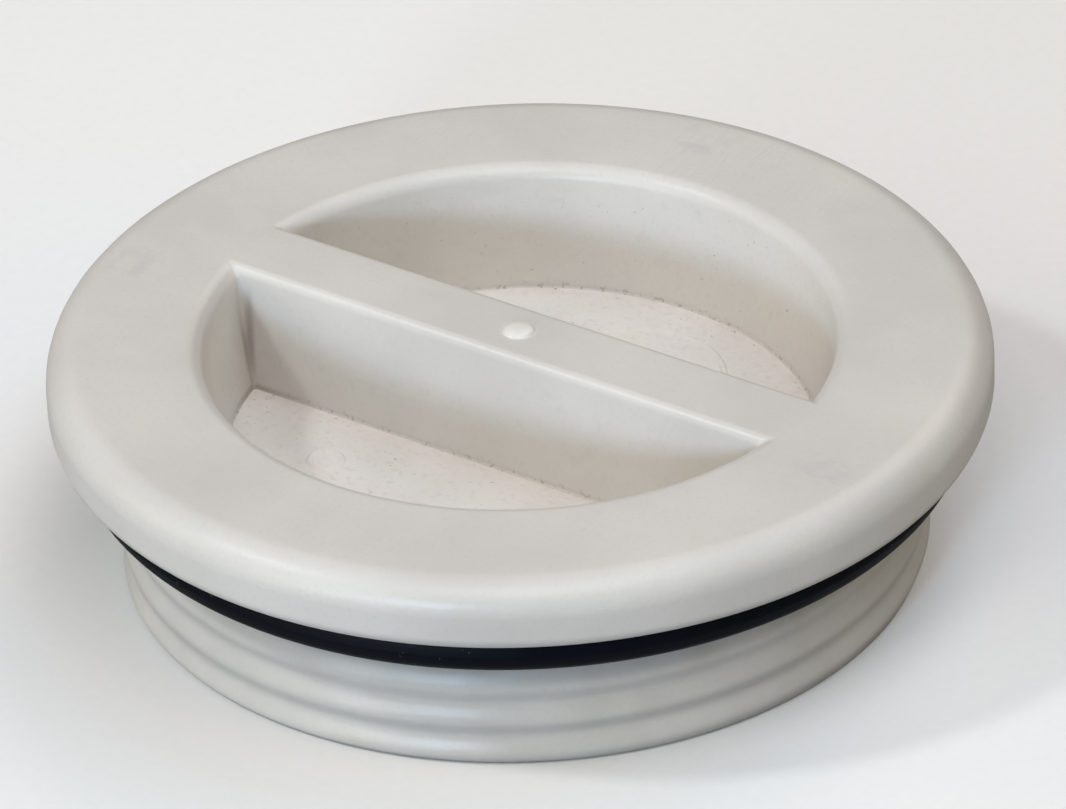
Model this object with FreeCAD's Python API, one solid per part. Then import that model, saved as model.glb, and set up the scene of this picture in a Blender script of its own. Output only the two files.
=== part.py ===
"""Deck fill cap: a screw-in plastic plug with two finger pockets and a grip bar, sealed by an O-ring.

The cap is one injection moulding. From the top down it has
  - a flange with a rounded rim, which covers the mouth of the deck socket,
  - two D-shaped finger pockets, which leave a straight grip bar between them, flush with the flange,
  - a neck under the flange, where the O-ring sits,
  - a skirt, a little narrower than the neck, with a shallow right-hand external thread of rounded
    form, which runs out through the skirt's bottom rim.
The underside is cored to an even wall: an open cup inside the skirt, a ring groove between the
pocket wall and the skirt, which ribs cross, and a row of slots up the middle of the grip bar.
The O-ring is the only other piece.

Frame: millimetres, +Z up along the thread axis, origin at the centre of the skirt's bottom rim.
The grip bar runs along X.
"""
import FreeCAD
import Part

import math
import os

Vector = FreeCAD.Vector
AXIS = Vector(0, 0, 1)
ORIGIN = Vector(0, 0, 0)

# Driving dimensions
CAP_HEIGHT = 16.4
FLANGE_D = 63.0
FLANGE_THICKNESS = 4.7
RIM_TOP_RADIUS = 2.25
RIM_UNDER_RADIUS = 1.0

NECK_D = 54.0
NECK_LENGTH = 3.3
SKIRT_D = 53.5                 # the thread's minor diameter
THREAD_MAJOR_D = 54.5
THREAD_PITCH = 2.54            # ten threads to the inch
THREAD_CREST_WIDTH = 0.6
THREAD_FLANK_ANGLE = 50.0      # between a flank and the radial direction
THREAD_CREST_RADIUS = 0.7
THREAD_SINK = 0.25             # how far the thread's root runs into the skirt
THREAD_START_Z = -1.35         # height of the crest's centre at the start, clear below the rim
THREAD_START_ANGLE = -3.6      # direction of the start, about the axis
THREAD_TURNS = 3.544
THREAD_FADE_TURNS = 0.15       # length of the ramp at each end
THREAD_STARTING_GROWTH = 0.05  # height at a ramp's tip, as a share of the full height
SECTIONS_PER_TURN = 24
LEAD_IN = 0.4                  # chamfer on the lowest turn of the thread

O_RING_SECTION = 3.0
O_RING_SQUEEZE = 0.04          # how far the stretched ring bites into the neck
NECK_FILLET = 0.4

POCKET_D = 42.1                # across the pocket walls, where the walls meet the top fillet
POCKET_DEPTH = 8.8
POCKET_DRAFT = 8.4
POCKET_TOP_RADIUS = 1.15
BAR_WIDTH = 5.9                # across the bar's sides, carried up to the top face
BAR_DRAFT = 3.9
BAR_TOP_RADIUS = 0.7

GATE_D = 2.2
GATE_HEIGHT = 0.28
RING_MARK_D = 12.3
RING_MARK_AT = (1.75, 10.7)
RING_MARK_SECTION = 0.5
RING_MARK_HEIGHT = 0.16

FLOOR_THICKNESS = 2.4
SKIRT_BORE_D = 49.8
SKIRT_BORE_DRAFT = 1.5
RIM_CHAMFER = 0.3
RIM_INNER_CHAMFER = 0.35
GROOVE_INNER_D = 44.9
GROOVE_TOP_Z = 10.9
GROOVE_RIBS = 8
RIB_THICKNESS = 1.4
RIB_FOOT_Z = 6.2
SLOT_WIDTH = 2.2               # at the slot's closed end
SLOT_DRAFT = 1.5
SLOT_LENGTH = 34.0
SLOT_ROOF = 2.6
SLOT_RIBS_AT = (-8.5, 8.5)
EJECTOR_D = 4.5
EJECTOR_DEPTH = 0.2
EJECTORS_AT = 13.0             # distance of the ejector marks from the axis
EJECTOR_ANGLES = (50.0, 130.0, 230.0, 310.0)

# Worked out from the driving dimensions
FLANGE_R = FLANGE_D / 2
SEAT_Z = CAP_HEIGHT - FLANGE_THICKNESS
NECK_R = NECK_D / 2
NECK_END_Z = SEAT_Z - NECK_LENGTH
SKIRT_R = SKIRT_D / 2
THREAD_DEPTH = (THREAD_MAJOR_D - SKIRT_D) / 2
FLOOR_Z = CAP_HEIGHT - POCKET_DEPTH
FLOOR_UNDER_Z = FLOOR_Z - FLOOR_THICKNESS
POCKET_R = POCKET_D / 2
OVERLAP = 1.0                  # how far a cutting solid runs past the face that it cuts


def point(r, z):
    """A point in the XZ half-plane, which sections are drawn in."""
    return Vector(r, 0, z)


def arc(start, middle, end):
    return Part.Arc(start, middle, end).toShape()


def line(start, end):
    return Part.LineSegment(start, end).toShape()


def quarter_middle(centre, radius, degrees):
    """The point of a circle in the XZ plane at an angle from +X."""
    a = math.radians(degrees)
    return point(centre.x + radius * math.cos(a), centre.z + radius * math.sin(a))


def revolved(edges):
    """The solid that a closed section turns through about Z."""
    return Part.Face(Part.Wire(edges)).revolve(ORIGIN, AXIS, 360)


def polygon_face(points):
    return Part.Face(Part.makePolygon(points + points[:1]))


def outer_form():
    """The flange, neck and skirt as a solid of revolution, before the pockets, the thread and the cores."""
    top_centre = point(FLANGE_R - RIM_TOP_RADIUS, CAP_HEIGHT - RIM_TOP_RADIUS)
    under_centre = point(FLANGE_R - RIM_UNDER_RADIUS, SEAT_Z + RIM_UNDER_RADIUS)
    neck_centre = point(NECK_R + NECK_FILLET, SEAT_Z - NECK_FILLET)
    a = point(0, CAP_HEIGHT)
    b = point(top_centre.x, CAP_HEIGHT)
    c = point(FLANGE_R, top_centre.z)
    d = point(FLANGE_R, under_centre.z)
    e = point(under_centre.x, SEAT_Z)
    f = point(neck_centre.x, SEAT_Z)
    g = point(NECK_R, neck_centre.z)
    h = point(NECK_R, NECK_END_Z)
    i = point(SKIRT_R, NECK_END_Z - (NECK_R - SKIRT_R))
    j = point(SKIRT_R, RIM_CHAMFER)
    k = point(SKIRT_R - RIM_CHAMFER, 0)
    edges = [
        line(a, b),
        arc(b, quarter_middle(top_centre, RIM_TOP_RADIUS, 45), c),
        line(c, d),
        arc(d, quarter_middle(under_centre, RIM_UNDER_RADIUS, -45), e),
        line(e, f),
        arc(f, quarter_middle(neck_centre, NECK_FILLET, 135), g),
        line(g, h),
        line(h, i),
        line(i, j),
        line(j, k),
        line(k, ORIGIN),
        line(ORIGIN, a),
    ]
    return revolved(edges)


def pocket_round():
    """The round side of both finger pockets: a drafted cup with a flared mouth."""
    draft = math.tan(math.radians(POCKET_DRAFT))
    wall_top_z = CAP_HEIGHT - POCKET_TOP_RADIUS
    centre = point(POCKET_R + POCKET_TOP_RADIUS, wall_top_z)
    foot = point(POCKET_R - draft * (wall_top_z - FLOOR_Z), FLOOR_Z)
    shoulder = point(POCKET_R, wall_top_z)
    mouth = point(centre.x, CAP_HEIGHT)
    above = point(centre.x, CAP_HEIGHT + OVERLAP)
    edges = [
        line(point(0, FLOOR_Z), foot),
        line(foot, shoulder),
        arc(shoulder, quarter_middle(centre, POCKET_TOP_RADIUS, 135), mouth),
        line(mouth, above),
        line(above, point(0, above.z)),
        line(point(0, above.z), point(0, FLOOR_Z)),
    ]
    return revolved(edges)


def grip_bar():
    """The grip bar as a long prism: drafted sides and two rounded top edges."""
    draft = math.tan(math.radians(BAR_DRAFT))
    foot_z = FLOOR_Z - OVERLAP
    round_z = CAP_HEIGHT - BAR_TOP_RADIUS
    half_foot = BAR_WIDTH / 2 + draft * (CAP_HEIGHT - foot_z)
    half_round = BAR_WIDTH / 2 + draft * BAR_TOP_RADIUS
    inner = half_round - BAR_TOP_RADIUS
    bulge = BAR_TOP_RADIUS * math.sin(math.radians(45))
    above = CAP_HEIGHT + 2 * OVERLAP
    x = -FLANGE_R

    def at(y, z):
        return Vector(x, y, z)

    edges = [
        line(at(-half_foot, foot_z), at(-half_round, round_z)),
        arc(at(-half_round, round_z), at(-inner - bulge, round_z + bulge), at(-inner, CAP_HEIGHT)),
        line(at(-inner, CAP_HEIGHT), at(-inner, above)),
        line(at(-inner, above), at(inner, above)),
        line(at(inner, above), at(inner, CAP_HEIGHT)),
        arc(at(inner, CAP_HEIGHT), at(inner + bulge, round_z + bulge), at(half_round, round_z)),
        line(at(half_round, round_z), at(half_foot, foot_z)),
        line(at(half_foot, foot_z), at(-half_foot, foot_z)),
    ]
    return Part.Face(Part.Wire(edges)).extrude(Vector(FLANGE_D, 0, 0))


def finger_pockets():
    """Both D-shaped pockets: the round cup, less the grip bar that crosses it."""
    return pocket_round().cut(grip_bar())


def underside_cup():
    """The open space inside the skirt, under the pocket floor, and the ring groove that runs up from it."""
    draft = math.tan(math.radians(SKIRT_BORE_DRAFT))
    bore_r = SKIRT_BORE_D / 2
    groove_outer_r = bore_r - draft * GROOVE_TOP_Z
    groove_inner_r = GROOVE_INNER_D / 2
    groove_foot_r = groove_inner_r - draft * (GROOVE_TOP_Z - FLOOR_UNDER_Z)
    end_radius = (groove_outer_r - groove_inner_r) / 2
    end_centre = point(groove_inner_r + end_radius, GROOVE_TOP_Z - end_radius)
    mouth_r = bore_r + RIM_INNER_CHAMFER
    edges = [
        line(point(0, -OVERLAP), point(mouth_r, -OVERLAP)),
        line(point(mouth_r, -OVERLAP), point(mouth_r, 0)),
        line(point(mouth_r, 0), point(bore_r, RIM_INNER_CHAMFER)),
        line(point(bore_r, RIM_INNER_CHAMFER), point(groove_outer_r, end_centre.z)),
        arc(
            point(groove_outer_r, end_centre.z),
            point(end_centre.x, GROOVE_TOP_Z),
            point(groove_inner_r, end_centre.z),
        ),
        line(point(groove_inner_r, end_centre.z), point(groove_foot_r, FLOOR_UNDER_Z)),
        line(point(groove_foot_r, FLOOR_UNDER_Z), point(0, FLOOR_UNDER_Z)),
        line(point(0, FLOOR_UNDER_Z), point(0, -OVERLAP)),
    ]
    return revolved(edges)


def groove_ribs():
    """Short ribs across the ring groove, evenly spaced round the axis."""
    inner_r = GROOVE_INNER_D / 2 - OVERLAP
    reach = SKIRT_BORE_D / 2 + OVERLAP / 2 - inner_r
    ribs = []
    for n in range(GROOVE_RIBS):
        rib = Part.makeBox(
            reach,
            RIB_THICKNESS,
            GROOVE_TOP_Z - RIB_FOOT_Z,
            Vector(inner_r, -RIB_THICKNESS / 2, RIB_FOOT_Z),
        )
        rib.rotate(ORIGIN, AXIS, 360.0 * (n + 0.5) / GROOVE_RIBS)
        ribs.append(rib)
    return ribs


def bar_slot():
    """The drafted slots that core the grip bar from below, in a row, with a rib between each two."""
    draft = math.tan(math.radians(SLOT_DRAFT))
    roof_z = CAP_HEIGHT - SLOT_ROOF
    mouth_z = FLOOR_UNDER_Z - OVERLAP
    half_roof = SLOT_WIDTH / 2
    half_mouth = half_roof + draft * (roof_z - mouth_z)
    x = -SLOT_LENGTH / 2
    section = polygon_face([
        Vector(x, -half_mouth, mouth_z),
        Vector(x, half_mouth, mouth_z),
        Vector(x, half_roof, roof_z),
        Vector(x, -half_roof, roof_z),
    ])
    slot = section.extrude(Vector(SLOT_LENGTH, 0, 0))
    for rib_x in SLOT_RIBS_AT:
        rib = Part.makeBox(
            RIB_THICKNESS,
            4 * half_mouth,
            roof_z - mouth_z,
            Vector(rib_x - RIB_THICKNESS / 2, -2 * half_mouth, mouth_z),
        )
        slot = slot.cut(rib)
    return slot


def ejector_marks():
    """Shallow round prints that the ejector pins leave in the underside of the pocket floors."""
    marks = []
    for degrees in EJECTOR_ANGLES:
        a = math.radians(degrees)
        place = Vector(
            EJECTORS_AT * math.cos(a),
            EJECTORS_AT * math.sin(a),
            FLOOR_UNDER_Z - OVERLAP,
        )
        marks.append(Part.makeCylinder(EJECTOR_D / 2, OVERLAP + EJECTOR_DEPTH, place))
    return marks


def thread_section(turn, growth):
    """The thread's closed section at a turn from its start. growth is its height as a share of the full height."""
    height = THREAD_DEPTH * growth
    crest_r = SKIRT_R + height
    inner_r = SKIRT_R - THREAD_SINK
    slope = math.tan(math.radians(THREAD_FLANK_ANGLE))
    half_crest = THREAD_CREST_WIDTH / 2
    half_base = half_crest + slope * (height + THREAD_SINK)
    # The crest's corners: the arc's tangent length along the crest and along the flank
    radius = THREAD_CREST_RADIUS * min(1.0, growth)
    corner_turn = math.radians(90 - THREAD_FLANK_ANGLE)
    tangent = radius * math.tan(corner_turn / 2)
    flank = Vector(-math.cos(math.radians(THREAD_FLANK_ANGLE)), 0, math.sin(math.radians(THREAD_FLANK_ANGLE)))
    corner_up = Vector(crest_r, 0, half_crest)
    on_crest = Vector(crest_r, 0, half_crest - tangent)
    on_flank = corner_up + flank * tangent
    arc_centre = Vector(crest_r - radius, 0, half_crest - tangent)
    half_turn = corner_turn / 2
    arc_middle = arc_centre + Vector(radius * math.cos(half_turn), 0, radius * math.sin(half_turn))

    def lower(v):
        return Vector(v.x, 0, -v.z)

    base = Vector(inner_r, 0, half_base)
    edges = [
        line(lower(base), lower(on_flank)),
        arc(lower(on_flank), lower(arc_middle), lower(on_crest)),
        line(lower(on_crest), on_crest),
        arc(on_crest, arc_middle, on_flank),
        line(on_flank, base),
        line(base, lower(base)),
    ]
    wire = Part.Wire(edges)
    wire.translate(Vector(0, 0, THREAD_START_Z + THREAD_PITCH * turn))
    wire.rotate(ORIGIN, AXIS, THREAD_START_ANGLE + 360 * turn)
    return wire


def thread_envelope():
    """The space above the bottom rim that holds the thread: a disc with a chamfered lower edge."""
    r = THREAD_MAJOR_D / 2
    top_z = SEAT_Z - NECK_FILLET
    edges = [
        line(ORIGIN, point(r - LEAD_IN, 0)),
        line(point(r - LEAD_IN, 0), point(r + OVERLAP, LEAD_IN + OVERLAP)),
        line(point(r + OVERLAP, LEAD_IN + OVERLAP), point(r + OVERLAP, top_z)),
        line(point(r + OVERLAP, top_z), point(0, top_z)),
        line(point(0, top_z), ORIGIN),
    ]
    return revolved(edges)


def thread():
    """The right-hand thread as a smooth loft through sections along the helix, with a ramp at each end."""
    count = round(THREAD_TURNS * SECTIONS_PER_TURN)
    sections = []
    for n in range(count + 1):
        turn = THREAD_TURNS * n / count
        from_end = min(turn, THREAD_TURNS - turn) / THREAD_FADE_TURNS
        share = min(1.0, from_end)
        ramp = share * share * (3 - 2 * share)
        growth = THREAD_STARTING_GROWTH + (1 - THREAD_STARTING_GROWTH) * ramp
        sections.append(thread_section(turn, growth))
    return Part.makeLoft(sections, True, False).common(thread_envelope())


def gate_vestige():
    """The low round nub that the mould's gate leaves at the middle of the grip bar."""
    r = GATE_D / 2
    sphere_r = (r * r + GATE_HEIGHT * GATE_HEIGHT) / (2 * GATE_HEIGHT)
    centre = Vector(0, 0, CAP_HEIGHT + GATE_HEIGHT - sphere_r)
    ball = Part.makeSphere(sphere_r, centre)
    keep = Part.makeCylinder(r, OVERLAP + GATE_HEIGHT, Vector(0, 0, CAP_HEIGHT - OVERLAP))
    return ball.common(keep)


def ring_mark():
    """A fine raised ring moulded in the floor of one pocket."""
    section_r = RING_MARK_SECTION / 2
    centre = Vector(RING_MARK_AT[0], RING_MARK_AT[1], FLOOR_Z + RING_MARK_HEIGHT - section_r)
    return Part.makeTorus(RING_MARK_D / 2, section_r, centre, AXIS)


def cap_body():
    body = outer_form()
    body = body.cut(finger_pockets())
    body = body.cut(underside_cup())
    body = body.cut([bar_slot(), *ejector_marks()])
    body = body.fuse([*groove_ribs(), gate_vestige(), ring_mark()])
    body = body.fuse(thread())
    return body.removeSplitter()


def o_ring():
    section_r = O_RING_SECTION / 2
    centre_r = NECK_R + section_r - O_RING_SQUEEZE
    return Part.makeTorus(centre_r, section_r, Vector(0, 0, SEAT_Z - section_r), AXIS)


def export(name, shape):
    solids = shape.Solids
    print(f"{name}: {len(solids)} solid, valid {shape.isValid()}, {shape.Volume:.1f} mm3")
    Part.makeCompound(solids).exportStep(f"parts/{name}.step")


def main():
    os.makedirs("parts", exist_ok=True)
    export("cap_body", cap_body())
    export("o_ring", o_ring())


main()
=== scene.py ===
"""Deck fill cap in off-white plastic with a black O-ring, on a pale floor in soft studio light.

The cap's moulding and the O-ring are meshed here again, finely, to the CAD model's shape, and stand
for its two nodes. The cap's mesh is one closed skin: rings of points joined by strips of faces, and
flat faces filled between rings. Lengths are in metres, in the CAD model's frame, except in the
materials, where they are in millimetres.
"""
import math

import bmesh
import bpy
from mathutils import Matrix, Vector


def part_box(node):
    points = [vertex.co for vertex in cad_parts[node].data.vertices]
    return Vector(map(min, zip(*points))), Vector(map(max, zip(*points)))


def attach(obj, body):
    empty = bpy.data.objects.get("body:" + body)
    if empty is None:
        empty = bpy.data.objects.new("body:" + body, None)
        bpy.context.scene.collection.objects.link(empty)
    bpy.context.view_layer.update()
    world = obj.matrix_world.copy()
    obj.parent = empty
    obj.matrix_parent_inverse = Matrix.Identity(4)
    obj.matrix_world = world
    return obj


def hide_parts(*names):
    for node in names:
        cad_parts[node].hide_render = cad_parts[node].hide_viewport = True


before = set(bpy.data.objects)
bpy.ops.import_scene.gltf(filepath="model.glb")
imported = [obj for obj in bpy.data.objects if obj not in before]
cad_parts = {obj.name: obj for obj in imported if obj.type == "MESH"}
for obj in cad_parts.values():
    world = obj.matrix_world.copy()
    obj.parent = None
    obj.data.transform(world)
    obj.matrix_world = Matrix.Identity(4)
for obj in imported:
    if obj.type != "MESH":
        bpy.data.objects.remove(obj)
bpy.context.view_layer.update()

CAP_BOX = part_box("cap_body")
RING_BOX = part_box("o_ring")
MM = 0.001
TINY = 0.002 * MM              # points closer than this are one

# The cap's outside: flange, neck, skirt and gate mark
GATE_HEIGHT = 0.28 * MM
TOP_Z = CAP_BOX[1].z - GATE_HEIGHT
FLANGE_R = CAP_BOX[1].x
SEAT_Z = RING_BOX[1].z
FLANGE_EDGE_ROUND = 2.25 * MM
FLANGE_UNDER_ROUND = 1.0 * MM
NECK_R = 27.0 * MM
NECK_FILLET = 0.4 * MM
SKIRT_R = 26.75 * MM
NECK_CONE_Z = 8.15 * MM        # where the cone from the neck down to the skirt ends
RIM_EDGE_ROUND = 0.3 * MM
TOP_MARGIN = 1.0 * MM          # how much of the flat top belongs to the turned skin
GATE_R = 1.1 * MM
GATE_COLLAR = 1.3              # flat collar round the gate mark, in gate radii
GATE_DOME = ((1, 0), (0.93, 0.3), (0.82, 0.6), (0.65, 0.83), (0.35, 0.97))

# The thread. It starts below the bottom rim and fades out at both ends
THREAD_DEPTH = 0.37 * MM
THREAD_PITCH = 2.54 * MM
THREAD_HALF_CREST = 0.04 * MM
THREAD_HALF_BASE = 1.24 * MM
THREAD_START_Z = -1.35 * MM
THREAD_START_ANGLE = math.radians(-3.6)
THREAD_TURNS = 3.544
THREAD_FADE_TURNS = 0.15
THREAD_TOP_Z = 9.2 * MM
THREAD_ROW = 0.13 * MM
LEAD_IN = 0.4 * MM
LEAD_IN_ROWS = (0.85, 0.7, 0.55, 0.4, 0.2, 0)      # square roots of their shares of the height

# The finger pockets and the grip bar between them
POCKET_R = 21.05 * MM
POCKET_FLOOR_R = 19.92 * MM
POCKET_DEPTH = 8.8 * MM
POCKET_MOUTH_ROUND = 1.15 * MM
POCKET_FOOT_ROUND = 0.15 * MM
POCKET_CORNER_R = 0.25 * MM
BAR_HALF_TOP = 3.0 * MM
BAR_HALF_FOOT = 3.55 * MM
BAR_EDGE_ROUND = 0.7 * MM
FLOOR_Z = TOP_Z - POCKET_DEPTH

# The underside: bore, ribbed groove round the pockets, slots in the bar and ejector prints
UNDER_Z = FLOOR_Z - 2.4 * MM
BORE_R = 24.9 * MM
BORE_EDGE = 0.35 * MM
BORE_DRAFT = 0.16 * MM
GROOVE_TOP_Z = 10.9 * MM
GROOVE_FULLNESS = 0.98         # the groove's top, as a share of a full half round
GROOVE_OUTER_R = 24.61 * MM
GROOVE_INNER_R = 22.45 * MM
GROOVE_FOOT_R = 22.3 * MM
GROOVE_FOOT_DRAFT = 0.03 * MM
RIBS = 8
RIB_HALF = 0.7 * MM
RIB_FOOT_Z = 6.2 * MM
SLOT_SPANS = ((-17.0 * MM, -9.2 * MM), (-7.8 * MM, 7.8 * MM), (9.2 * MM, 17.0 * MM))
SLOT_HALF_ROOF = 1.1 * MM
SLOT_HALF_MOUTH = 1.32 * MM
SLOT_ROOF_Z = TOP_Z - 2.6 * MM
EJECTOR_R = 2.25 * MM
EJECTOR_DEPTH = 0.2 * MM
EJECTOR_DRAFT = 0.05 * MM
EJECTORS_AT = 13.0 * MM
EJECTOR_ANGLES = (50, 130, 230, 310)

# The O-ring's moulding line, round its outside
FLASH_HEIGHT = 0.05 * MM
FLASH_HALF_ANGLE = math.radians(12)

# Raised rings in the pocket floors: side of the bar, centre, radius and points round it
RING_MARKS = (
    (1, Vector((1.75, 10.7)) * MM, 6.15 * MM, 96),
    (-1, Vector((-10.1, -8.6)) * MM, 1.1 * MM, 40),
)
RING_MARK_HALF = 0.25 * MM
RING_MARK_HEIGHT = 0.16 * MM
RING_MARK_ROWS = (1, 0.55, 0.2, -0.2, -0.55, -1)   # shares of the half width, from outside in

# How finely the meshes are divided
COLUMNS_PER_RIB = 38
ARC_STEPS = 8
POCKET_LINE_STEPS = 24
POCKET_CORNER_STEPS = 5
POCKET_ARC_STEPS = 96
POCKET_WALL_STEPS = 6
SMALL_ROUND_STEPS = 48
RING_TURN_STEPS = 320
RING_SECTION_STEPS = 60
SHARP_ANGLE = math.radians(40)
MOULDING, FLOORS = 0, 1        # the cap's two materials, in their order on the mesh

# Camera: where it stands round the cap, and what it aims at
CAMERA_AZIMUTH = math.radians(35.16)      # from the -Y side towards +X
CAMERA_ELEVATION = math.radians(32.17)
CAMERA_ROLL = math.radians(-2.25)
CAMERA_DISTANCE = 0.589
CAMERA_LENS = 298.4
SENSOR_WIDTH = 36.0
CAMERA_CLIP = 0.01
AIM_RIGHT = 0.76 * MM
AIM_BELOW_TOP = 5.84 * MM

# Lights: name, azimuth and elevation in degrees as the camera's, diameter, watts, colour
LIGHT_DISTANCE = 1.2
LIGHTS = (
    ("key", 11, 15, 0.18, 4.7, (0.54, 0.74, 1.0)),
    ("window", -42, 49, 0.15, 3.0, (0.97, 1.0, 1.0)),
    ("front_low", -11, 10, 0.3, 2.1, (1.0, 1.0, 0.93)),
    ("front_middle", -11, 32, 0.6, 2.1, (0.95, 1.0, 0.86)),
    ("left_low", -60, 20, 0.6, 2.2, (1.0, 0.71, 0.38)),
    ("camera_high", 35, 62, 0.8, 5.3, (1.0, 0.90, 0.86)),
    ("right_side", 95, 30, 0.8, 2.0, (1.0, 0.71, 0.23)),
    ("right_high", 120, 65, 1.0, 4.4, (0.58, 0.81, 1.0)),
    ("back", 180, 45, 0.8, 3.6, (1.0, 0.78, 0.67)),
)
WORLD_COLOUR = (1, 1, 1, 1)
WORLD_STRENGTH = 0.01
FLOOR_SIZE = 6


# ---------------------------------------------------------------- meshing

def smooth_step(t):
    t = min(max(t, 0.0), 1.0)
    return t * t * (3 - 2 * t)


def steps(first, last, count):
    """count + 1 values from first to last, evenly spaced."""
    return [first + (last - first) * n / count for n in range(count + 1)]


def rounded(corners):
    """An open outline of (r, z) points from (r, z, radius) corners, with an arc for each radius."""
    outline = []
    for n, (r, z, radius) in enumerate(corners):
        here = Vector((r, z))
        if radius == 0:
            outline.append(here)
            continue
        back = (Vector(corners[n - 1][:2]) - here).normalized()
        ahead = (Vector(corners[n + 1][:2]) - here).normalized()
        half = back.angle(ahead) / 2
        centre = here + (back + ahead).normalized() * (radius / math.sin(half))
        start = here + back * (radius / math.tan(half)) - centre
        end = here + ahead * (radius / math.tan(half)) - centre
        turn = start.angle(end)
        for t in steps(0, 1, ARC_STEPS):
            blend = (start * math.sin(turn * (1 - t)) + end * math.sin(turn * t)) / math.sin(turn)
            outline.append(centre + blend)
    return outline


def ring_of(bm, points):
    return [bm.verts.new(p) for p in points]


def strip(bm, ring_a, ring_b, material=MOULDING):
    """Faces between two closed rings with the same number of points."""
    for n in range(len(ring_a)):
        m = (n + 1) % len(ring_a)
        face = bm.faces.new((ring_a[n], ring_a[m], ring_b[m], ring_b[n]))
        face.material_index = material


def fill_level(bm, z, side=0, material=MOULDING):
    """Flat faces between the open rings at a height, on one side of the bar or, with 0, on both."""
    def here(v):
        return abs(v.co.z - z) < TINY and v.co.y * side >= 0
    edges = [e for e in bm.edges if e.is_boundary and all(here(v) for v in e.verts)]
    made = bmesh.ops.triangle_fill(bm, edges=edges, use_beauty=True, normal=(0, 0, 1))
    for item in made["geom"]:
        if isinstance(item, bmesh.types.BMFace):
            item.material_index = material


def circle(centre, radius, z, count):
    return [
        Vector((centre.x + radius * math.cos(a), centre.y + radius * math.sin(a), z))
        for a in steps(0, 2 * math.pi, count)[:-1]
    ]


# ---------------------------------------------------------------- the cap's moulding

def thread_height(angle, z):
    """How far the thread stands out of the skirt at a direction and a height."""
    height = 0.0
    lap = ((angle - THREAD_START_ANGLE) / (2 * math.pi)) % 1.0
    while lap <= THREAD_TURNS:
        off = abs(z - THREAD_START_Z - THREAD_PITCH * lap)
        if off < THREAD_HALF_BASE:
            from_end = min(lap, THREAD_TURNS - lap) / THREAD_FADE_TURNS
            flank = (THREAD_HALF_BASE - off) / (THREAD_HALF_BASE - THREAD_HALF_CREST)
            height = max(height, THREAD_DEPTH * smooth_step(from_end) * smooth_step(flank))
        lap += 1.0
    return height


def rim_round(z, radius):
    """How far a rounded lower edge draws the skirt in at a height."""
    if z >= radius:
        return 0.0
    return radius - math.sqrt(radius * radius - (radius - z) ** 2)


def skirt_radius(angle, z):
    """The skirt's outer radius with its thread and its rounded lower edge."""
    cone = min(max(z - NECK_CONE_Z, 0), NECK_R - SKIRT_R)
    root = SKIRT_R + cone - rim_round(z, RIM_EDGE_ROUND)
    crest = SKIRT_R + thread_height(angle, z) - rim_round(z, LEAD_IN)
    return max(root, crest) if crest > SKIRT_R - LEAD_IN / 2 else root


def columns():
    """The turned skin's columns as (angle, offset, rib).

    The offset is a sideways distance from the angle's radius. Each edge of a rib has two columns in
    one place, the groove's and the rib's, with the rib's side between them.
    """
    out = []
    pitch = 2 * math.pi / RIBS
    for n in range(RIBS):
        rib_angle = pitch * (n + 0.5)
        out.append((rib_angle, -RIB_HALF, False))
        out.append((rib_angle, -RIB_HALF, True))
        out.append((rib_angle, 0.0, True))
        out.append((rib_angle, RIB_HALF, True))
        out.append((rib_angle, RIB_HALF, False))
        edge = math.asin(RIB_HALF / SKIRT_R)
        for a in steps(rib_angle + edge, rib_angle + pitch - edge, COLUMNS_PER_RIB)[1:-1]:
            out.append((a, 0.0, False))
    return out


def turned_outline():
    """The half section, from the top face round the outside to the underside, in three parts."""
    upper = rounded([
        (FLANGE_R - FLANGE_EDGE_ROUND - TOP_MARGIN, TOP_Z, 0),
        (FLANGE_R, TOP_Z, FLANGE_EDGE_ROUND),
        (FLANGE_R, SEAT_Z, FLANGE_UNDER_ROUND),
        (NECK_R, SEAT_Z, NECK_FILLET),
        (NECK_R, THREAD_TOP_Z, 0),
    ])
    rows = math.ceil(THREAD_TOP_Z / THREAD_ROW)
    skirt = [Vector((SKIRT_R, z)) for z in steps(THREAD_TOP_Z, LEAD_IN, rows)[1:]]
    skirt += [Vector((SKIRT_R, LEAD_IN * t * t)) for t in LEAD_IN_ROWS]
    groove_round = (GROOVE_OUTER_R - GROOVE_INNER_R) / 2 * GROOVE_FULLNESS
    inside = rounded([
        (BORE_R + BORE_EDGE, 0, 0),
        (BORE_R, BORE_EDGE, 0),
        (BORE_R - BORE_DRAFT, RIB_FOOT_Z, 0),
        (GROOVE_OUTER_R, GROOVE_TOP_Z, groove_round),
        (GROOVE_INNER_R, GROOVE_TOP_Z, groove_round),
        (GROOVE_FOOT_R + GROOVE_FOOT_DRAFT, RIB_FOOT_Z, 0),
        (GROOVE_FOOT_R, UNDER_Z, 0),
    ])
    return upper, skirt, inside


def turned_skin(bm):
    """The outside and the underside as strips of faces."""
    upper, skirt, inside = turned_outline()
    last = None
    for part, outline in (("upper", upper), ("skirt", skirt), ("inside", inside)):
        for r, z in outline:
            points = []
            for base, offset, rib in columns():
                angle = base + math.asin(offset / r)
                radius = skirt_radius(angle, z) if part == "skirt" else r
                height = min(z, RIB_FOOT_Z) if part == "inside" and rib else z
                points.append((radius * math.cos(angle), radius * math.sin(angle), height))
            ring = ring_of(bm, points)
            if last:
                strip(bm, last, ring)
            last = ring


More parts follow.
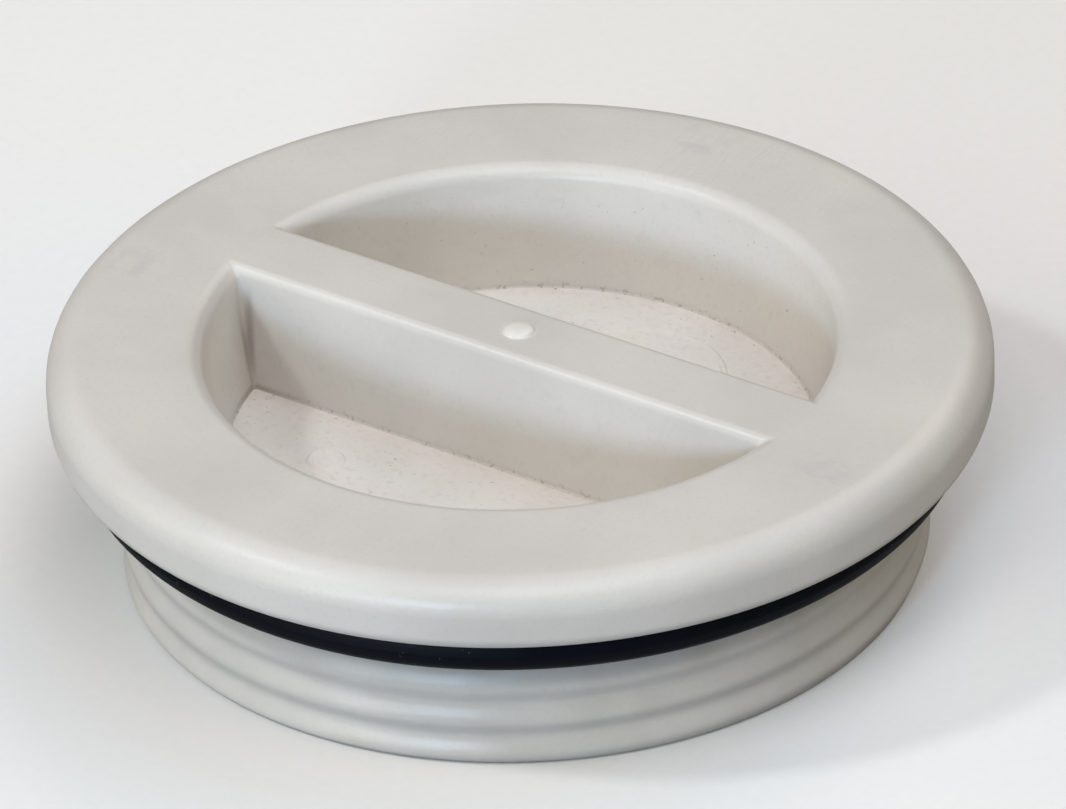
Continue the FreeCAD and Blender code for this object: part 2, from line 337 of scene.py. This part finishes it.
def pocket_ring(side, r, bar, z_wall, z_bar):
    """One level of a pocket's skin: a D with its flat side a distance called bar from the axis."""
    c = POCKET_CORNER_R
    y = bar + c
    x = math.sqrt((r - c) ** 2 - y * y)
    turn = math.atan2(y, x)
    points = [(px, bar, z_bar) for px in steps(-x, x, POCKET_LINE_STEPS)]
    for t in steps(0, 1, POCKET_CORNER_STEPS)[1:]:
        a = -math.pi / 2 + (turn + math.pi / 2) * t
        z = z_bar + (z_wall - z_bar) * smooth_step(t)
        points.append((x + c * math.cos(a), y + c * math.sin(a), z))
    for a in steps(turn, math.pi - turn, POCKET_ARC_STEPS)[1:]:
        points.append((r * math.cos(a), r * math.sin(a), z_wall))
    for t in steps(0, 1, POCKET_CORNER_STEPS)[1:-1]:
        a = math.pi - turn + (turn + math.pi / 2) * t
        z = z_wall + (z_bar - z_wall) * smooth_step(t)
        points.append((-x + c * math.cos(a), y + c * math.sin(a), z))
    return [(px, side * py, pz) for px, py, pz in points]


def pocket_levels():
    """A pocket's levels, mouth to floor: the wall's radius, the bar's half width, their heights."""
    levels = []
    for t in steps(math.pi / 2, 0, ARC_STEPS):
        levels.append((
            POCKET_R + POCKET_MOUTH_ROUND * (1 - math.cos(t)),
            BAR_HALF_TOP - BAR_EDGE_ROUND * (1 - math.cos(t)),
            TOP_Z - POCKET_MOUTH_ROUND * (1 - math.sin(t)),
            TOP_Z - BAR_EDGE_ROUND * (1 - math.sin(t)),
        ))
    for t in steps(0, 1, POCKET_WALL_STEPS)[1:-1]:
        levels.append((
            POCKET_R + (POCKET_FLOOR_R - POCKET_R) * t,
            BAR_HALF_TOP + (BAR_HALF_FOOT - BAR_HALF_TOP) * t,
            TOP_Z - POCKET_MOUTH_ROUND - (POCKET_DEPTH - POCKET_MOUTH_ROUND) * t,
            TOP_Z - BAR_EDGE_ROUND - (POCKET_DEPTH - BAR_EDGE_ROUND) * t,
        ))
    for t in steps(0, math.pi / 2, ARC_STEPS):
        rise = POCKET_FOOT_ROUND * (1 - math.sin(t))
        draw = POCKET_FOOT_ROUND * (1 - math.cos(t))
        z = FLOOR_Z + rise
        levels.append((POCKET_FLOOR_R - draw, BAR_HALF_FOOT + draw, z, z))
    return levels


def pocket_skin(bm, side):
    """One pocket's walls."""
    last = None
    for r, bar, z_wall, z_bar in pocket_levels():
        ring = ring_of(bm, pocket_ring(side, r, bar, z_wall, z_bar))
        if last:
            strip(bm, last, ring)
        last = ring


def ring_mark(bm, centre, radius, count):
    """A fine raised ring on a pocket floor, with the floor inside it."""
    rings = []
    for share in RING_MARK_ROWS:
        z = FLOOR_Z + RING_MARK_HEIGHT * math.cos(share * math.pi / 2)
        rings.append(ring_of(bm, circle(centre, radius + share * RING_MARK_HALF, z, count)))
    for a, b in zip(rings, rings[1:]):
        strip(bm, a, b, FLOORS)
    bm.faces.new(rings[-1]).material_index = FLOORS


def gate_mark(bm):
    """The low dome of the gate at the middle of the bar, with a flat collar."""
    middle = Vector((0, 0))
    last = ring_of(bm, circle(middle, GATE_R * GATE_COLLAR, TOP_Z, SMALL_ROUND_STEPS))
    for share, lift in GATE_DOME:
        z = TOP_Z + GATE_HEIGHT * lift
        ring = ring_of(bm, circle(middle, GATE_R * share, z, SMALL_ROUND_STEPS))
        strip(bm, last, ring)
        last = ring
    peak = bm.verts.new((0, 0, TOP_Z + GATE_HEIGHT))
    for n in range(SMALL_ROUND_STEPS):
        bm.faces.new((last[n], last[(n + 1) % SMALL_ROUND_STEPS], peak))


def slot_skin(bm, low_x, high_x):
    """One slot up into the grip bar."""
    def corners(half, z):
        return [(low_x, -half, z), (high_x, -half, z), (high_x, half, z), (low_x, half, z)]
    mouth = ring_of(bm, corners(SLOT_HALF_MOUTH, UNDER_Z))
    roof = ring_of(bm, corners(SLOT_HALF_ROOF, SLOT_ROOF_Z))
    strip(bm, mouth, roof)
    bm.faces.new(roof)


def ejector_print(bm, degrees):
    """A shallow round print in the underside."""
    a = math.radians(degrees)
    centre = Vector((math.cos(a), math.sin(a))) * EJECTORS_AT
    edge = ring_of(bm, circle(centre, EJECTOR_R, UNDER_Z, SMALL_ROUND_STEPS))
    bed_z = UNDER_Z + EJECTOR_DEPTH
    bed = ring_of(bm, circle(centre, EJECTOR_R - EJECTOR_DRAFT, bed_z, SMALL_ROUND_STEPS))
    strip(bm, edge, bed)
    bm.faces.new(bed)


def cap_mesh():
    bm = bmesh.new()
    turned_skin(bm)
    for side, centre, radius, count in RING_MARKS:
        pocket_skin(bm, side)
        ring_mark(bm, centre, radius, count)
    gate_mark(bm)
    for span in SLOT_SPANS:
        slot_skin(bm, *span)
    for degrees in EJECTOR_ANGLES:
        ejector_print(bm, degrees)
    bmesh.ops.remove_doubles(bm, verts=bm.verts, dist=TINY)
    bmesh.ops.dissolve_degenerate(bm, edges=bm.edges, dist=TINY / 2)
    fill_level(bm, TOP_Z)
    fill_level(bm, FLOOR_Z, 1, FLOORS)
    fill_level(bm, FLOOR_Z, -1, FLOORS)
    fill_level(bm, UNDER_Z)
    bmesh.ops.recalc_face_normals(bm, faces=bm.faces)
    return bm


def o_ring_mesh():
    """The O-ring: a round section with a low moulding line round its outside."""
    bm = bmesh.new()
    section = (RING_BOX[1].z - RING_BOX[0].z) / 2
    centre_r = RING_BOX[1].x - section
    middle_z = (RING_BOX[1].z + RING_BOX[0].z) / 2
    rings = []
    for q in steps(0, 2 * math.pi, RING_SECTION_STEPS)[:-1]:
        from_line = abs((q + math.pi) % (2 * math.pi) - math.pi)
        flash = FLASH_HEIGHT * max(0, 1 - from_line / FLASH_HALF_ANGLE)
        r = centre_r + (section - FLASH_HEIGHT + flash) * math.cos(q)
        z = middle_z + section * math.sin(q)
        rings.append(ring_of(bm, circle(Vector((0, 0)), r, z, RING_TURN_STEPS)))
    for n in range(len(rings)):
        strip(bm, rings[n], rings[(n + 1) % len(rings)])
    bmesh.ops.recalc_face_normals(bm, faces=bm.faces)
    return bm


def piece(name, bm, node, materials):
    """A finished piece that stands for a CAD node and rides with it."""
    mesh = bpy.data.meshes.new(name)
    bm.to_mesh(mesh)
    bm.free()
    mesh.shade_smooth()
    mesh.set_sharp_from_angle(angle=SHARP_ANGLE)
    for material in materials:
        mesh.materials.append(material)
    obj = bpy.data.objects.new(name, mesh)
    bpy.context.collection.objects.link(obj)
    weighted = obj.modifiers.new("weighted normals", "WEIGHTED_NORMAL")
    weighted.keep_sharp = True
    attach(obj, "root")
    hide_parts(node)


# ---------------------------------------------------------------- camera, light and floor

def make_camera():
    """The camera, level but for its roll, with a point just beside the cap's axis in the middle."""
    sin_a, cos_a = math.sin(CAMERA_AZIMUTH), math.cos(CAMERA_AZIMUTH)
    sin_e, cos_e = math.sin(CAMERA_ELEVATION), math.cos(CAMERA_ELEVATION)
    back = Vector((sin_a * cos_e, -cos_a * cos_e, sin_e))
    level_right = Vector((cos_a, sin_a, 0))
    level_up = back.cross(level_right)
    right = level_right * math.cos(CAMERA_ROLL) + level_up * math.sin(CAMERA_ROLL)
    up = back.cross(right)
    aim = level_right * AIM_RIGHT + Vector((0, 0, TOP_Z - AIM_BELOW_TOP))
    data = bpy.data.cameras.new("camera")
    data.lens = CAMERA_LENS
    data.sensor_width = SENSOR_WIDTH
    data.clip_start = CAMERA_CLIP
    camera = bpy.data.objects.new("camera", data)
    turned = Matrix((right, up, back)).transposed().to_4x4()
    camera.matrix_world = Matrix.Translation(aim + back * CAMERA_DISTANCE) @ turned
    bpy.context.collection.objects.link(camera)
    bpy.context.scene.camera = camera


# ---------------------------------------------------------------- materials

# Colours: the darker and the paler one of each material
PLASTIC_COLOURS = ((0.585, 0.572, 0.552), (0.648, 0.634, 0.612))
FLOOR_COLOURS = ((0.725, 0.685, 0.655), (0.775, 0.738, 0.713))
RUBBER_COLOURS = ((0.0012, 0.0028, 0.0065), (0.0035, 0.0055, 0.0105))
STUDIO_COLOURS = ((0.835, 0.850, 0.865), (0.853, 0.868, 0.883))
STUDIO_BOUNCE = (0.35, 0.35, 0.35)     # the studio floor's grey in the light that it throws back

# Marks: their colour, and how much of it shows at most
PLASTIC_COOL = ((0.60, 0.600, 0.592), 0.35)
PLASTIC_PITS = ((0.50, 0.485, 0.465), 0.22)
SCUFFED = ((0.50, 0.49, 0.475), 0.22)
SMUDGED = ((0.44, 0.46, 0.48), 0.3)
# The grime's dark brown, also used as painted shade in the pockets' upright corners and along their
# floors
GRIME_AND_CREASE_SHADE = ((0.19, 0.155, 0.12), 1.0)
CUT = ((0.45, 0.43, 0.40), 0.10)
STAINED = ((0.47, 0.445, 0.40), 0.30)
# Painted shade under the O-ring, partly black rubber residue
UNDER_RING_SHADE = ((0.10, 0.105, 0.11), 1.0)
GATE_PALE = ((0.78, 0.775, 0.76), 0.75)
FLOOR_PITS = ((0.58, 0.54, 0.51), 0.35)
FLOOR_TAN = ((0.56, 0.48, 0.40), 0.25)
GRITTY = ((0.17, 0.13, 0.095), 0.8)
DUSTY = ((0.14, 0.13, 0.12), 0.5)

# Noise: the size of its lumps, and its detail
PLASTIC_CLOUDS = (13.0, 3.0)
PLASTIC_GRAIN = (0.32, 3.0)
PLASTIC_RIPPLE = (2.6, 2.0)
FLOOR_PEBBLES = (0.5, 3.0)
FLOOR_FINE_GRAIN = (0.16, 2.0)
RUBBER_CLOUDS = (4.0, 4.0)
RUBBER_GRAIN = (0.25, 3.0)

# Patches: the size and detail of their noise, and its two levels between which they come up
COOL_PATCHES = (5.0, 4.0, 0.45, 0.75)
SCUFF_PATCHES = (11.0, 2.0, 0.42, 0.62)
SMUDGE_PATCHES = (1.6, 3.0, 0.45, 0.65)
FOOT_PATCHES = (0.33, 2.0, 0.54, 0.68)
WALL_SPECKS = (0.3, 1.0, 0.745, 0.78)
STAIN_PATCHES = (6.0, 4.0, 0.4, 0.72)
FLOOR_PATCHES = (6.0, 3.0, 0.3, 0.7)
TAN_PATCHES = (1.1, 3.0, 0.4, 0.7)
GRIT_SPECKS = (0.42, 1.0, 0.70, 0.74)
GRIT_PATCHES = (4.0, 2.0, 0.45, 0.6)
DUST_SPECKS = (0.3, 1.0, 0.71, 0.76)
DUST_PATCHES = (7.0, 2.0, 0.45, 0.65)
STUDIO_WEAVE = (0.8, 3.0, 0.2, 0.8)
PLASTIC_CLOUD_LEVELS = (0.3, 0.7)
PLASTIC_PIT_LEVELS = (0.5, 0.8)
FLOOR_PIT_LEVELS = (0.52, 0.75)
RUBBER_CLOUD_LEVELS = (0.35, 0.75)

# Straight marks: direction in degrees, width and length, and the noise levels that show
SCUFF_STREAKS = ((101, 0.16, 7.0), (88, 0.2, 10.0))
CUT_STREAKS = (35, 0.45, 6.0)
STREAK_LEVELS = (0.6, 0.72)

# Bands that a mark comes up in, from where it has nothing to where it is full
TOP_BAND = (-0.5, -0.1)                # heights over the top face
GATE_TOP_BAND = (-0.1, -0.03)
MOUTH_BAND = (-0.9, -1.8)
ABOVE_FLOOR_BAND = (-0.4, -0.2)        # heights over the pocket floors
CORNER_LOW_BAND = (1.0, 0.3)
CREVICE_BAND = (0.5, 0.0)
FOOT_BAND = (0.6, 0.0)
UNDER_FLANGE_BAND = (12.0, 11.4)       # heights over the skirt's bottom rim
# Painted shade under the O-ring comes up in this band
UNDER_RING_SHADE_BAND = (5.9, 7.8)
GATE_BAND = (1.4, 0.8)                 # distances from the axis
SPECK_BAND = (16.0, 20.0)
FLOOR_EDGE_BAND = (18.4, 19.8)
POCKET_BAND = (21.7, 21.3)
SKIRT_BAND = (26.0, 26.3)
ALONG_BAR_BAND = (4.6, 3.6)            # distances from the bar's middle
FAR_SIDE_BAND = (8.0, 18.0)
CORNER_BAND = (0.62, 0.1)              # distances from a pocket's upright corner
CREVICE_REACH_BAND = (5.0, 0.5)

# Where a round wall meets the bar at a pocket's floor, and the smudges' centres and radii
CORNER_AT = (19.9, 3.5, 0)
SMUDGES = (((-27.4, -6.6), 4.2), ((26.8, -4.7), 3.4), ((-3.0, 27.0), 3.0))
SMUDGE_MIDDLE = 0.5                    # radius of a smudge's full part

# Amounts of the marks on the moulding, at the least and at the most
SCUFFS_TO_FAR_SIDE = (0.3, 1.0)
# Painted shade with some grime, in the pockets' upright corners and along the crease at their
# floors
CORNER_SHADE_AND_GRIME = (0.55, 0.85)
CREVICE_SHADE_AND_GRIME = (0.12, 0.62)
FOOT_GRIME = 0.55
WALL_SPECK_GRIME = 0.4
# Painted shade under the O-ring, partly black rubber residue
UNDER_RING_SHADE_AMOUNT = (0.5, 0.65)
GRIT_HALF = 0.5                        # grit at the edges, and as much again in patches

# Roughness, from smooth to rough
PLASTIC_ROUGHNESS = (0.28, 0.42)
MARKS_ROUGHER = 0.18
POCKETS_ROUGHER = 0.1
FLOOR_ROUGHNESS = (0.5, 0.75)
RUBBER_ROUGHNESS = (0.34, 0.64)
STUDIO_ROUGHNESS = (0.75, 0.85)

# Depths of the bumps
PLASTIC_RIPPLE_DEPTH = 0.035
PLASTIC_GRAIN_DEPTH = 0.016
MARK_DEPTH = 0.006
FLOOR_PEBBLE_DEPTH = 0.045
FLOOR_FINE_DEPTH = 0.012
RUBBER_GRAIN_DEPTH = 0.01
STUDIO_WEAVE_DEPTH = 0.003


class Shader:
    """A material in the making. Its methods add nodes and return sockets."""

    def __init__(self, name, **constants):
        self.material = bpy.data.materials.new(name)
        self.material.use_nodes = True
        self.nodes = self.material.node_tree.nodes
        self.surface = self.nodes["Principled BSDF"]
        for socket, value in constants.items():
            self.surface.inputs[socket.replace("_", " ")].default_value = value
        coordinates = self.nodes.new("ShaderNodeTexCoord").outputs["Object"]
        self.place = self.vector("MULTIPLY", coordinates, (1 / MM,) * 3)
        parts = self.node("ShaderNodeSeparateXYZ", [self.place]).outputs
        self.y, self.z = parts["Y"], parts["Z"]
        self.r = self.length(self.vector("MULTIPLY", self.place, (1, 1, 0)))

    def node(self, kind, values, **settings):
        """A node with its inputs set, or linked where the value is a socket."""
        node = self.nodes.new(kind)
        for key, value in settings.items():
            setattr(node, key, value)
        for key, value in (values.items() if isinstance(values, dict) else enumerate(values)):
            if isinstance(value, bpy.types.NodeSocket):
                self.material.node_tree.links.new(value, node.inputs[key])
            else:
                node.inputs[key].default_value = value
        return node

    def math(self, operation, *values):
        return self.node("ShaderNodeMath", values, operation=operation).outputs[0]

    def vector(self, operation, *values):
        return self.node("ShaderNodeVectorMath", values, operation=operation).outputs[0]

    def length(self, vector):
        node = self.node("ShaderNodeVectorMath", [vector], operation="LENGTH")
        return node.outputs["Value"]

    def distance(self, point):
        node = self.node("ShaderNodeVectorMath", [self.place, point], operation="DISTANCE")
        return node.outputs["Value"]

    def times(self, *values):
        product = values[0]
        for value in values[1:]:
            product = self.math("MULTIPLY", product, value)
        return product

    def most(self, *values):
        highest = values[0]
        for value in values[1:]:
            highest = self.math("MAXIMUM", highest, value)
        return highest

    def between(self, share, at_0, at_1):
        """From one number to another as share goes from 0 to 1."""
        return self.math("MULTIPLY_ADD", share, at_1 - at_0, at_0)

    def ramp(self, value, low, high):
        """0 below low, 1 above high and smooth between, or the reverse if low is above high."""
        if low > high:
            return self.math("SUBTRACT", 1.0, self.ramp(value, high, low))
        values = {"Value": value, "From Min": low, "From Max": high}
        return self.node("ShaderNodeMapRange", values, interpolation_type="SMOOTHSTEP").outputs[0]

    def noise(self, size, detail, place=None):
        """Noise around 0.5 with lumps of about a size."""
        values = {"Vector": place or self.place, "Scale": 1 / size, "Detail": detail}
        return self.node("ShaderNodeTexNoise", values).outputs["Fac"]

    def patches(self, size, detail, low, high):
        return self.ramp(self.noise(size, detail), low, high)

    def streaks(self, degrees, width, length):
        """Fine straight marks in a direction of the XY plane, as 0 to 1."""
        turn = {
            "Vector": self.place,
            "Rotation": (0, 0, math.radians(degrees)),
            "Scale": (length, width, 1),
        }
        along = self.node("ShaderNodeMapping", turn, vector_type="TEXTURE").outputs[0]
        return self.ramp(self.noise(1.0, 1.0, along), *STREAK_LEVELS)

    def marked(self, colour, where, mark):
        """A colour with a mark over it, where that is."""
        mark_colour, most = mark
        return self.mix(self.times(where, most), colour, mark_colour)

    def mix(self, share, a, b):
        """The colour a, or b where share is 1. Each is a socket or three numbers."""
        ends = [c if isinstance(c, bpy.types.NodeSocket) else (*c, 1) for c in (a, b)]
        values = {0: share, 6: ends[0], 7: ends[1]}
        return self.node("ShaderNodeMix", values, data_type="RGBA").outputs[2]

    def bump(self, height, depth, normal=None):
        """A bump of a depth, over an earlier one."""
        values = {"Height": height, "Distance": depth * MM, "Strength": 1.0}
        if normal:
            values["Normal"] = normal
        return self.node("ShaderNodeBump", values).outputs[0]

    def finish(self, colour, roughness, normal):
        links = self.material.node_tree.links
        links.new(colour, self.surface.inputs["Base Color"])
        links.new(roughness, self.surface.inputs["Roughness"])
        links.new(normal, self.surface.inputs["Normal"])
        return self.material


def over(level, band):
    """A band of heights over a level."""
    return level + band[0], level + band[1]


def cap_plastic():
    """Satin off-white moulded plastic, handled and a little grimy, with a paler gate mark, painted
    shade with some grime in the pockets' creases, and painted shade under the O-ring.
    """
    m = Shader("cap_plastic", Specular_IOR_Level=0.42)
    top, floor_z = TOP_Z / MM, FLOOR_Z / MM
    grain = m.noise(*PLASTIC_GRAIN)
    clouds = m.noise(*PLASTIC_CLOUDS)
    colour = m.mix(m.ramp(clouds, *PLASTIC_CLOUD_LEVELS), *PLASTIC_COLOURS)
    colour = m.marked(colour, m.patches(*COOL_PATCHES), PLASTIC_COOL)
    colour = m.marked(colour, m.ramp(grain, *PLASTIC_PIT_LEVELS), PLASTIC_PITS)

    # Scuffs on the flange, most of them on its far side, and smudges
    on_top = m.ramp(m.z, *over(top, TOP_BAND))
    far_side = m.between(m.ramp(m.y, *FAR_SIDE_BAND), *SCUFFS_TO_FAR_SIDE)
    scuffs = m.most(*(m.streaks(*streak) for streak in SCUFF_STREAKS))
    scuffs = m.times(scuffs, on_top, far_side, m.patches(*SCUFF_PATCHES))
    colour = m.marked(colour, scuffs, SCUFFED)
    for place, radius in SMUDGES:
        near = m.ramp(m.distance((*place, top)), radius, SMUDGE_MIDDLE)
        colour = m.marked(colour, m.times(near, m.patches(*SMUDGE_PATCHES)), SMUDGED)

    # Grime and painted shade on the pockets' walls: painted shade with some grime darkening the
    # upright corners and the crease along the floor, grime along the floor and in specks
    below_mouth = m.ramp(m.z, *over(top, MOUTH_BAND))
    above_floor = m.ramp(m.z, *over(floor_z, ABOVE_FLOOR_BAND))
    pocket = m.times(below_mouth, above_floor, m.ramp(m.r, *POCKET_BAND))
    to_corner = m.vector("SUBTRACT", m.vector("ABSOLUTE", m.place), CORNER_AT)
    from_corner = m.length(m.vector("MULTIPLY", to_corner, (1, 1, 0)))
    # Painted shade, partly grime: darker into each upright corner, most near the floor
    low_down = m.between(m.ramp(m.z, *over(floor_z, CORNER_LOW_BAND)), *CORNER_SHADE_AND_GRIME)
    corner = m.times(m.ramp(from_corner, *CORNER_BAND), low_down)
    # Painted shade, partly grime: darker along the crease at the floor, most towards the corners
    crevice = m.between(m.ramp(from_corner, *CREVICE_REACH_BAND), *CREVICE_SHADE_AND_GRIME)
    crevice = m.times(crevice, m.ramp(m.z, *over(floor_z, CREVICE_BAND)))
    foot = m.ramp(m.z, *over(floor_z, FOOT_BAND))
    foot = m.times(foot, m.patches(*FOOT_PATCHES), FOOT_GRIME)
    specks = m.times(m.patches(*WALL_SPECKS), m.ramp(m.r, *SPECK_BAND), WALL_SPECK_GRIME)
    grime_and_shade = m.times(m.most(corner, crevice, foot, specks), pocket)
    colour = m.marked(colour, grime_and_shade, GRIME_AND_CREASE_SHADE)
    cuts = m.times(m.streaks(*CUT_STREAKS), pocket)
    colour = m.marked(colour, cuts, CUT)

    # Grease on the thread, and painted shade under the O-ring on the neck, partly black rubber from
    # the ring
    skirt = m.times(m.ramp(m.z, *UNDER_FLANGE_BAND), m.ramp(m.r, *SKIRT_BAND))
    stain = m.patches(*STAIN_PATCHES)
    colour = m.marked(colour, m.times(skirt, stain), STAINED)
    # Painted shade under the O-ring and flange: the skirt darkens towards the ring, partly black
    # rubber residue
    under_ring_shade = m.times(skirt, m.ramp(m.z, *UNDER_RING_SHADE_BAND), m.between(stain, *UNDER_RING_SHADE_AMOUNT))
    colour = m.marked(colour, under_ring_shade, UNDER_RING_SHADE)

    gate = m.times(m.ramp(m.r, *GATE_BAND), m.ramp(m.z, *over(top, GATE_TOP_BAND)))
    colour = m.marked(colour, gate, GATE_PALE)

    rough = m.between(clouds, *PLASTIC_ROUGHNESS)
    rough = m.math("ADD", rough, m.times(m.math("ADD", scuffs, grime_and_shade), MARKS_ROUGHER))
    rough = m.math("ADD", rough, m.times(pocket, POCKETS_ROUGHER))
    normal = m.bump(m.noise(*PLASTIC_RIPPLE), PLASTIC_RIPPLE_DEPTH)
    normal = m.bump(grain, PLASTIC_GRAIN_DEPTH, normal)
    normal = m.bump(m.math("ADD", scuffs, cuts), -MARK_DEPTH, normal)
    return m.finish(colour, rough, normal)


def pocket_floor():
    """The pocket floors: the same plastic, pinker and coarsely eroded, with grit at the walls."""
    m = Shader("pocket_floor", Specular_IOR_Level=0.35)
    pebbles = m.noise(*FLOOR_PEBBLES)
    colour = m.mix(m.patches(*FLOOR_PATCHES), *FLOOR_COLOURS)
    colour = m.marked(colour, m.ramp(pebbles, *FLOOR_PIT_LEVELS), FLOOR_PITS)
    along_wall = m.ramp(m.r, *FLOOR_EDGE_BAND)
    along_bar = m.ramp(m.math("ABSOLUTE", m.y), *ALONG_BAR_BAND)
    edge = m.most(along_wall, along_bar)
    colour = m.marked(colour, m.times(edge, m.patches(*TAN_PATCHES)), FLOOR_TAN)
    in_patches = m.times(m.patches(*GRIT_PATCHES), GRIT_HALF)
    where = m.math("MULTIPLY_ADD", edge, GRIT_HALF, in_patches)
    colour = m.marked(colour, m.times(m.patches(*GRIT_SPECKS), where), GRITTY)
    rough = m.between(pebbles, *FLOOR_ROUGHNESS)
    normal = m.bump(pebbles, FLOOR_PEBBLE_DEPTH)
    normal = m.bump(m.noise(*FLOOR_FINE_GRAIN), FLOOR_FINE_DEPTH, normal)
    return m.finish(colour, rough, normal)


def seal_rubber():
    """Black rubber with a soft bloom and a little dust."""
    m = Shader("seal_rubber", Specular_IOR_Level=0.09)
    clouds = m.noise(*RUBBER_CLOUDS)
    colour = m.mix(m.ramp(clouds, *RUBBER_CLOUD_LEVELS), *RUBBER_COLOURS)
    dust = m.times(m.patches(*DUST_SPECKS), m.patches(*DUST_PATCHES))
    colour = m.marked(colour, dust, DUSTY)
    rough = m.between(clouds, *RUBBER_ROUGHNESS)
    return m.finish(colour, rough, m.bump(m.noise(*RUBBER_GRAIN), RUBBER_GRAIN_DEPTH))


def pale_floor():
    """The studio floor. It is paler to the camera than in the light that it throws back."""
    m = Shader("pale_floor", Specular_IOR_Level=0.2)
    seen = m.nodes.new("ShaderNodeLightPath").outputs["Is Camera Ray"]
    weave = m.patches(*STUDIO_WEAVE)
    colour = m.mix(seen, STUDIO_BOUNCE, m.mix(weave, *STUDIO_COLOURS))
    rough = m.between(weave, *STUDIO_ROUGHNESS)
    return m.finish(colour, rough, m.bump(weave, STUDIO_WEAVE_DEPTH))


# ---------------------------------------------------------------- light and the whole scene

def soft_light(name, azimuth, elevation, size, energy, colour):
    """A round area light that looks at the cap from a direction given as the camera's is."""
    a, e = math.radians(azimuth), math.radians(elevation)
    towards = Vector((math.sin(a) * math.cos(e), -math.cos(a) * math.cos(e), math.sin(e)))
    place = towards * LIGHT_DISTANCE
    data = bpy.data.lights.new(name, "AREA")
    data.shape = "DISK"
    data.size = size
    data.energy = energy
    data.color = colour
    light = bpy.data.objects.new(name, data)
    light.location = place
    light.rotation_euler = place.to_track_quat("Z", "Y").to_euler()
    bpy.context.collection.objects.link(light)


make_camera()
piece("cap_moulding", cap_mesh(), "cap_body", [cap_plastic(), pocket_floor()])
piece("o_ring_seal", o_ring_mesh(), "o_ring", [seal_rubber()])

for light in LIGHTS:
    soft_light(*light)
world = bpy.data.worlds.new("world")
world.use_nodes = True
world.node_tree.nodes["Background"].inputs["Color"].default_value = WORLD_COLOUR
world.node_tree.nodes["Background"].inputs["Strength"].default_value = WORLD_STRENGTH
bpy.context.scene.world = world
bpy.context.scene.view_settings.view_transform = "Standard"
bpy.ops.mesh.primitive_plane_add(size=FLOOR_SIZE)
floor = bpy.context.object
floor.name = "floor"
floor.data.materials.append(pale_floor())
